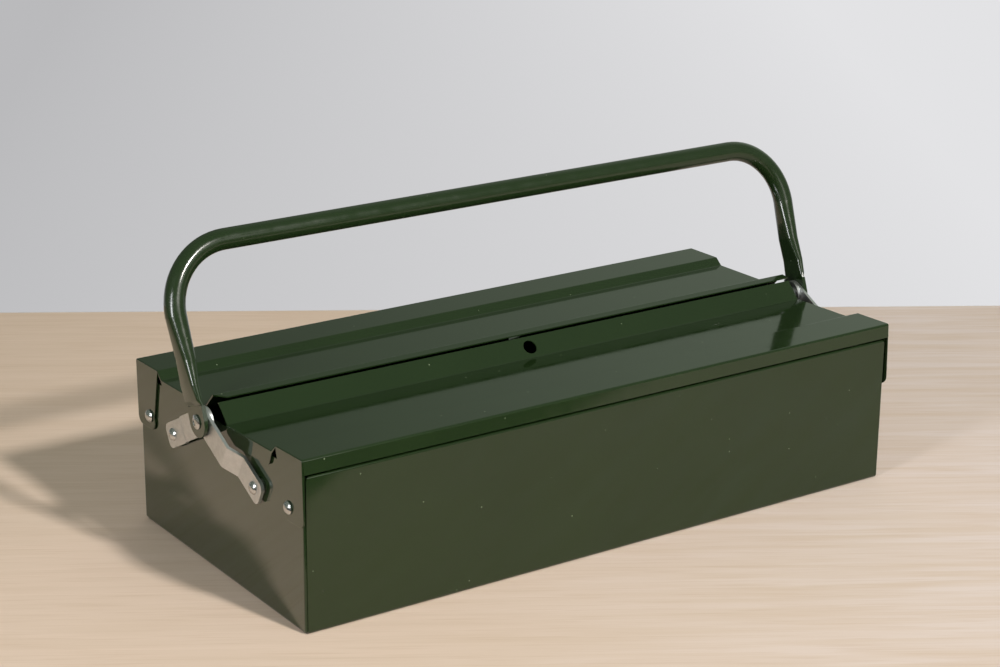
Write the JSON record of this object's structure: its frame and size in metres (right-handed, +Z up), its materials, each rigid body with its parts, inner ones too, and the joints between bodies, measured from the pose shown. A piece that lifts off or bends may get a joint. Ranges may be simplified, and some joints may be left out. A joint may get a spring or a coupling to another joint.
{
  "type": "toolbox",
  "caption": "Painted sheet-steel toolbox with two lids hinged on end rivets, a padlock ridge and a folding bent-tube handle on riveted zinc straps.",
  "frame": {"origin": "centre of the base, on the ground", "axes": "+X along the length to the right end, +Y to the back, +Z up; front at -Y"},
  "size_m": [0.4654, 0.2027, 0.1981],
  "materials": {
    "paint": "gloss",
    "zinc": "satin"
  },
  "bodies": {
    "case": {"case_wrap": "paint", "end_wall_left": "paint", "end_wall_right": "paint", "strap_front_left": "zinc", "strap_spacer_front_left": "zinc", "strap_rivet_front_left": "zinc", "lid_rivet_front_left": "zinc", "strap_rear_left": "zinc", "strap_spacer_rear_left": "zinc", "strap_rivet_rear_left": "zinc", "lid_rivet_rear_left": "zinc", "pivot_rivet_left": "zinc", "strap_front_right": "zinc", "strap_spacer_front_right": "zinc", "strap_rivet_front_right": "zinc", "lid_rivet_front_right": "zinc", "strap_rear_right": "zinc", "strap_spacer_rear_right": "zinc", "strap_rivet_rear_right": "zinc", "lid_rivet_rear_right": "zinc", "pivot_rivet_right": "zinc"},
    "front_lid": {"front_lid": "paint"},
    "rear_lid": {"rear_lid": "paint"},
    "handle": {"handle": "paint"}
  },
  "joints": [
    {"name": "front_lid_hinge", "type": "hinge", "parent": "case", "child": "front_lid", "pos_m": [0, -0.0845, 0.072], "axis": [1, 0, 0], "range_deg": [0, 110]},
    {"name": "rear_lid_hinge", "type": "hinge", "parent": "case", "child": "rear_lid", "pos_m": [0, 0.0845, 0.072], "axis": [-1, 0, 0], "range_deg": [0, 110]},
    {"name": "handle_pivot", "type": "hinge", "parent": "case", "child": "handle", "pos_m": [0, 0, 0.0975], "axis": [1, 0, 0], "range_deg": [-61.5, 100.5]}
  ]
}
